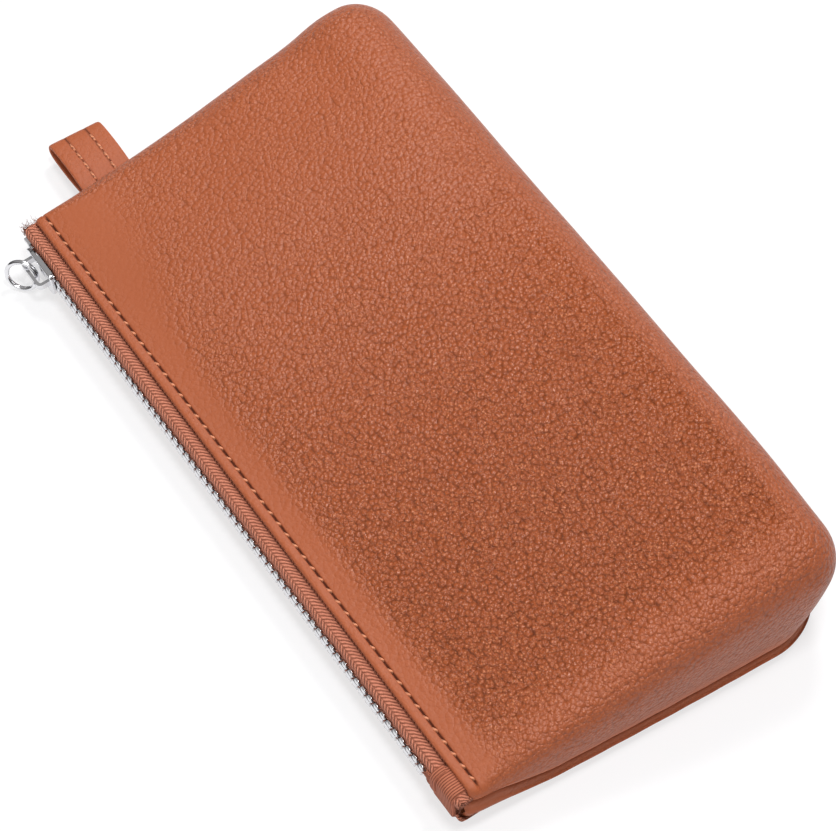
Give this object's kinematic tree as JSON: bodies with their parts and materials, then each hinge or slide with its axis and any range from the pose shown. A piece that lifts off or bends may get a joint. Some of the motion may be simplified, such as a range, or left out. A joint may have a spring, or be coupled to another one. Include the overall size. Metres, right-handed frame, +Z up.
{
  "type": "zippered leather pouch",
  "caption": "Soft rectangular leather pouch with a deep boxed base, a metal zip along one long edge with a ring pull, and a folded hanging loop on one short side.",
  "frame": {"origin": "middle of the flat underside, where the pouch rests", "axes": "+X along the zip from its closed end to its open end, +Y from the zip to the base, +Z up"},
  "size_m": [0.2118, 0.1125, 0.0362],
  "materials": {
    "leather": "pebbled, satin",
    "loop_leather": "pebbled, satin",
    "lining": "plain weave, matt",
    "zip_tape": "herringbone weave, matt",
    "end_ribbon": "ribbed weave, matt",
    "thread": "twisted thread, matt",
    "chain_metal": "polished nickel",
    "slider_metal": "polished nickel"
  },
  "bodies": {
    "pouch": {"upper_panel": "leather", "lower_panel": "leather", "loop_tail": "loop_leather", "upper_lining": "lining", "lower_lining": "lining", "upper_tape": "zip_tape", "lower_tape": "zip_tape", "upper_cord": "zip_tape", "lower_cord": "zip_tape", "upper_teeth": "chain_metal", "lower_teeth": "chain_metal", "top_stops": "chain_metal", "bottom_stop": "end_ribbon", "zip_end_tab": "end_ribbon", "upper_topstitch": "thread", "lower_topstitch": "thread", "seam_thread": "thread"},
    "slider": {"slider_body": "slider_metal", "slider_crown": "slider_metal"},
    "pull": {"pull_ring": "slider_metal"},
    "loop": {"loop_strap": "loop_leather", "loop_stitches": "thread"}
  },
  "joints": [
    {"name": "slider_travel", "type": "slide", "parent": "pouch", "child": "slider", "axis": [1, 0, 0], "range_m": [0, 0.157]},
    {"name": "pull_swing", "type": "hinge", "parent": "slider", "child": "pull", "pos_m": [-0.083, -0.05609, 0.00624], "axis": [-0.5, -0.0755, 0.8627], "range_deg": [-12, 102]},
    {"name": "loop_flex", "type": "hinge", "parent": "pouch", "child": "loop", "pos_m": [-0.09599, -0.0265, 0.005], "axis": [0, 1, 0], "range_deg": [-20, 60], "stiffness_Nm_per_rad": 0.003}
  ]
}
